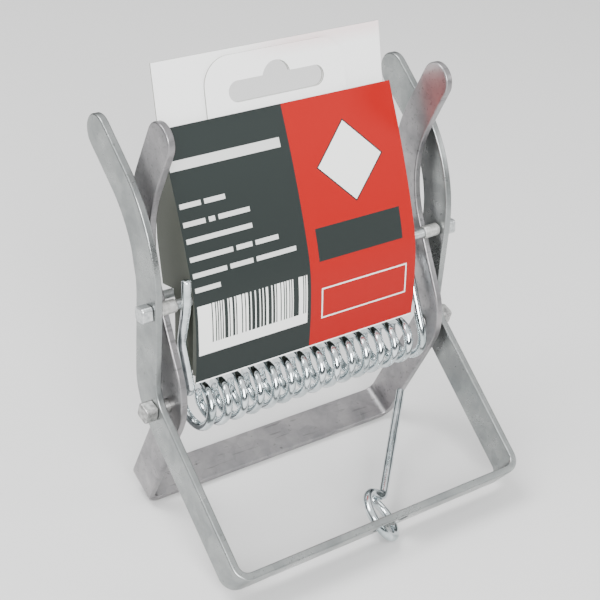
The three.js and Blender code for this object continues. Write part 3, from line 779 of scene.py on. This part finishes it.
def printed_face(name):
    """The print, in millimetres across the panel and up the trap's plane."""
    material, place = material_on_object(name)
    in_plane = place.node("ShaderNodeMapping", {"vector_type": "TEXTURE"},
                          {"Vector": place, "Location": PIVOT, "Rotation": (-LEAN, 0, 0),
                           "Scale": (MM, MM, MM)})
    x = in_plane.along(0)
    v = in_plane.along(2)
    white = inside(x, v, *WIDE_BAR)
    for left, right, middle in ROW_BARS:
        bar = inside(x, v, left, right, middle - ROW_HALF, middle + ROW_HALF)
        white = white.math("MAXIMUM", bar)
    left, right, low, high = OUTLINED_BOX
    outline = inside(x, v, *OUTLINED_BOX) - inside(
        x, v, left + OUTLINE_WIDTH, right - OUTLINE_WIDTH, low + OUTLINE_WIDTH,
        high - OUTLINE_WIDTH)
    from_middle = ((x - DIAMOND_MIDDLE[0]).math("ABSOLUTE")
                   + (v - DIAMOND_MIDDLE[1]).math("ABSOLUTE"))
    fields = outline.math("MAXIMUM", from_middle.math("LESS_THAN", DIAMOND_HALF))
    fields = fields.math("MAXIMUM", inside(x, v, *STRIPED_FIELD))
    stripe = (x * STRIPES_PER_MM + FIRST_STRIPE).math("FLOOR")
    stripe = stripe.node("ShaderNodeTexWhiteNoise", {"noise_dimensions": "1D"}, {"W": stripe})
    stripe = stripe.math("GREATER_THAN", WHITE_STRIPES) * inside(x, v, *STRIPES_BOX)
    colour = place.mix(x.math("GREATER_THAN", RED_FROM), SLATE, RED)
    colour = place.mix(white * ROW_TINT, colour, PRINT_WHITE)
    colour = place.mix(from_middle.math("LESS_THAN", DIAMOND_EDGE), colour, SLATE)
    colour = place.mix(fields, colour, PRINT_WHITE)
    colour = place.mix(stripe, colour, SLATE)
    colour = place.mix(inside(x, v, *DARK_PLATE), colour, SLATE)
    fibre = place.noise(FIBRES_PER_METRE, detail=3.0)
    surface(place, Base_Color=colour, Roughness=PRINT_ROUGHNESS + FIBRE_DULLS * fibre,
            Specular_IOR_Level=CARD_SHEEN,
            Normal=place.bump(fibre, PRINT_RELIEF, BUMP_METRES))
    return material


def plain_board(name, colour, painted_shade_top=None):
    """Bare board of one colour with a faint cool mottle of its fibres. High up on the right, white board gets a
    painted reflection: a pink tint of red light from the print. Below the height given in metres, white board is
    painted olive, a painted shade."""
    material, place = material_on_object(name)
    mottle = place.noise(MOTTLES_PER_METRE, detail=3.0, roughness=0.6)
    fibre = place.noise(FIBRES_PER_METRE, detail=3.0)
    cool = (colour[0] * COOLER[0], colour[1] * COOLER[1], colour[2], 1.0)
    shade = place.mix(mottle, colour, cool)
    if colour == CARD_WHITE:
        height = place.along(2)
        # Painted reflection: pink high on the right of white board.
        red_reflection = place.along(0).above(*RED_REFLECTION_X) * height.above(*RED_REFLECTION_Z)
        shade = place.mix(red_reflection * RED_REFLECTION_TINT, shade, PAINTED_RED_REFLECTION)
        # Painted shade: olive below the given height.
        if painted_shade_top:
            shade = place.mix(height.math("LESS_THAN", painted_shade_top), shade, PRINT_SHEEN_AND_SHADE_OLIVE)
    surface(place, Base_Color=shade, Roughness=BOARD_ROUGHNESS + FIBRE_DULLS * fibre,
            Specular_IOR_Level=CARD_SHEEN,
            Normal=place.bump(fibre, BOARD_RELIEF, BUMP_METRES))
    return material


def sheet_of_card(name, line, width):
    """A sheet: the line (u, v) carried across the width, with a face half the thickness off either
    side of it. Both ends shrink to the line's own end, which closes them."""
    line = np.concatenate([line[:1], line, line[-1:]])
    along = np.gradient(line[1:-1], axis=0)
    along = np.concatenate([along[:1], along, along[-1:]])
    along /= np.linalg.norm(along, axis=1, keepdims=True)
    off = np.stack([-along[:, 1], along[:, 0]], axis=-1) * CARD_THICKNESS / 2
    off[[0, -1]] = 0
    columns = [(-width / 2, 1), (width / 2, 1), (width / 2, -1), (-width / 2, -1)]
    grid = np.stack([np.concatenate([np.full((len(line), 1), x), line + side * off], axis=-1)
                     for x, side in columns], axis=1)
    return skin(name, grid)


def faces_towards(piece, direction):
    """Which faces look that way: their normal, times the direction, is above a half."""
    facing = np.zeros(len(piece.data.polygons) * 3)
    piece.data.polygons.foreach_get("normal", facing)
    return facing.reshape(-1, 3) @ direction > SAME_WAY


def paint(piece, materials, chosen):
    """Gives the piece its materials, and each face the one that is chosen for it."""
    piece.data.materials.clear()
    for material in materials:
        piece.data.materials.append(material)
    piece.data.polygons.foreach_set("material_index", chosen.astype(np.int32))


panel_line = curve_through(PANEL_LINE, PANEL_STEPS)
panel = sheet_of_card("card_front_panel", panel_line, PANEL_WIDTH)
board_face = plain_board("white card", CARD_WHITE)
print_face = printed_face("printed card")
# Olive board: slate print lightened by a painted sheen.
print_and_sheen_face = plain_board("olive of slate print and painted sheen", PRINT_SHEEN_AND_SHADE_OLIVE)
area = np.zeros(len(panel.data.polygons))
panel.data.polygons.foreach_get("area", area)
printed = faces_towards(panel, -u_axis) & (area > PANEL_WIDTH * CARD_THICKNESS * MM ** 2)
paint(panel, (board_face, print_face, print_and_sheen_face),
      printed + 2 * faces_towards(panel, -side_axis))
dress(panel, None, "card_front_panel", "card")
flat_faces(panel)

# Card, left side: the panel's left margin, folded back along the panel's edge and painted olive, which is its
# slate print lightened by a painted sheen.
# It ends in front of the rear rod and reaches further back above it. A notch, open at the bottom,
# lets it down over the front rod.
FOLD_X = -PANEL_WIDTH / 2
FOLD_GAP = 0.05
# Heights v from foot to top, and how far back u the side reaches at each.
FOLD_REAR = ((8.0, -1.5), (14.0, 5.5), (17.0, 7.0), (22.0, 6.0), (30.0, 4.2), (31.6, 3.8),
             (35.1, 3.8), (35.3, 10.5), (50.0, 10.5), (60.0, 9.0), (72.0, 6.3), (84.6, 2.0))
FOLD_STEPS = 60
NOTCH_HALF = 16.0
NOTCH_RADIUS = 1.75

heights = np.linspace(FOLD_REAR[0][0], FOLD_REAR[-1][0], FOLD_STEPS + 1)
heights = np.unique(np.concatenate([heights, np.array(FOLD_REAR)[:, 0]]))
panel_u = np.interp(heights, panel_line[:, 1], panel_line[:, 0])
fold_front = panel_u + CARD_THICKNESS / 2 + FOLD_GAP
fold_rear = np.interp(heights, *np.array(FOLD_REAR).T)
outline = np.stack([fold_front, fold_rear, fold_rear, fold_front], axis=-1)
fold_x = FOLD_X + np.broadcast_to([0, 0, CARD_THICKNESS, CARD_THICKNESS], outline.shape)
fold_grid = np.stack([fold_x, outline, np.broadcast_to(heights[:, None], outline.shape)], axis=-1)
ends = fold_grid[[0, -1]].copy()
ends[:] = ends.mean(axis=1, keepdims=True)
fold = skin("card_left_side", np.concatenate([ends[:1], fold_grid, ends[1:]]))
slide_down = math.sin(LEAN) * u_axis - math.cos(LEAN) * v_axis
slide_over = math.cos(LEAN) * u_axis + math.sin(LEAN) * v_axis
notch_stations = [(-OVERRUN, 0, 0, 0), (-OVERRUN, NOTCH_HALF, 0, NOTCH_RADIUS),
                  (OVERRUN, NOTCH_HALF, 0, NOTCH_RADIUS), (OVERRUN, 0, 0, 0)]
notch_middle = (FOLD_X, ROD_U, ROD_V) + NOTCH_HALF * slide_down
notch = rounded_post("notch", notch_stations, notch_middle, side_axis, slide_down, slide_over)
cut(fold, [notch])
flat_faces(fold)
dress(fold, print_and_sheen_face, "card_front_panel", "card")

# Card, hanging tab and back board: white board of the same thickness. The tab has rounded corners and the shop's
# hanging slot, punched through the back board as well. Behind the panel, low down, the board's front is painted
# olive, a painted shade. Their cut edges are painted grey, a painted shade line along the edges.
# Painted shade: grey on the cut edges, standing in for the shade along the tab's edges.
PAINTED_EDGE_SHADE = (0.30, 0.30, 0.27, 1.0)
# Painted shade: below this height, in metres, the back board's front is olive.
PAINTED_SHADE_TOP = 0.125

# Painted shade on the cut edges of tab and board.
edge_shade_face = plain_board("painted edge shade", PAINTED_EDGE_SHADE)
# The back board's front: white, with a painted shade of olive low down.
white_face_with_painted_shade = plain_board("inner board with painted shade", CARD_WHITE, PAINTED_SHADE_TOP)
for name, front_face in (("card_hanging_tab", board_face), ("card_back_board", white_face_with_painted_shade)):
    board = frame["nodes"][name]
    front = faces_towards(board, -u_axis)
    rim = ~front & ~faces_towards(board, u_axis)
    paint(board, (board_face, edge_shade_face, front_face), rim + 2 * front)

# Studio: a pale floor without a seam. One large soft light stands above and behind, the strongest
# at the front left, and a small weak one at the right. The surround is bright overhead and dim at
# eye level, which puts the dark streaks in the bright wire.
FLOOR_HALF = 3.0
FLOOR_GREY = (0.62, 0.62, 0.617, 1.0)
FLOOR_ROUGHNESS = 0.7
OVERHEAD = (1.4, 1.4, 1.4, 1.0)
EYE_LEVEL = (0.05, 0.06, 0.065, 1.0)
SURROUND_BLEND = (0.25, 0.75)
SURROUND_STRENGTH = 1.0
AIM = Vector((0.0, 0.01, 0.06))
LIGHTS = (
    ("key light", (-0.5, 0.25, 1.15), 0.7, 18.0),
    ("front light", (-0.55, -1.2, 0.85), 0.8, 44.0),
    ("right light", (0.9, -0.7, 0.5), 0.4, 3.0),
)

floor_mesh = bpy.data.meshes.new("floor")
corners = [(-FLOOR_HALF, -FLOOR_HALF, 0), (FLOOR_HALF, -FLOOR_HALF, 0),
           (FLOOR_HALF, FLOOR_HALF, 0), (-FLOOR_HALF, FLOOR_HALF, 0)]
floor_mesh.from_pydata(corners, [], [(0, 1, 2, 3)])
floor = bpy.data.objects.new("floor", floor_mesh)
bpy.context.scene.collection.objects.link(floor)
floor_paint, place = material_on_object("pale floor")
surface(place, Base_Color=FLOOR_GREY, Roughness=FLOOR_ROUGHNESS)
floor_mesh.materials.append(floor_paint)

world = bpy.data.worlds.new("studio")
world.use_nodes = True
sky = world.node_tree
aim = Shade(sky, sky.nodes.new("ShaderNodeTexCoord").outputs["Generated"])
shade = aim.mix(aim.along(2).above(*SURROUND_BLEND), EYE_LEVEL, OVERHEAD)
sky.links.new(shade.socket, sky.nodes["Background"].inputs["Color"])
sky.nodes["Background"].inputs["Strength"].default_value = SURROUND_STRENGTH
bpy.context.scene.world = world

for name, spot, size, watts in LIGHTS:
    lamp = bpy.data.lights.new(name, "AREA")
    lamp.size = size
    lamp.energy = watts
    light = bpy.data.objects.new(name, lamp)
    light.location = spot
    light.rotation_euler = (AIM - Vector(spot)).to_track_quat("-Z", "Y").to_euler()
    bpy.context.scene.collection.objects.link(light)

# Camera: stands at the front left and looks down on the trap, as the picture was taken. It is held
# a little askew, with its lens shifted up.
CAMERA_PLACE = Vector((-0.24076, -0.31501, 0.29262))
CAMERA_BACK = Vector((-0.51205, -0.68748, 0.51495))
CAMERA_ROLL = math.radians(2.8171)
LENS_MM = 85.61
SENSOR_MM = 36.0
SHIFT_UP = 0.0833

camera_data = bpy.data.cameras.new("camera")
camera_data.lens = LENS_MM
camera_data.sensor_width = SENSOR_MM
camera_data.shift_y = SHIFT_UP
camera = bpy.data.objects.new("camera", camera_data)
level = CAMERA_BACK.to_track_quat("Z", "Y").to_matrix().to_4x4()
askew = level @ Matrix.Rotation(CAMERA_ROLL, 4, "Z")
camera.matrix_world = Matrix.Translation(CAMERA_PLACE) @ askew
bpy.context.scene.collection.objects.link(camera)
bpy.context.scene.camera = camera
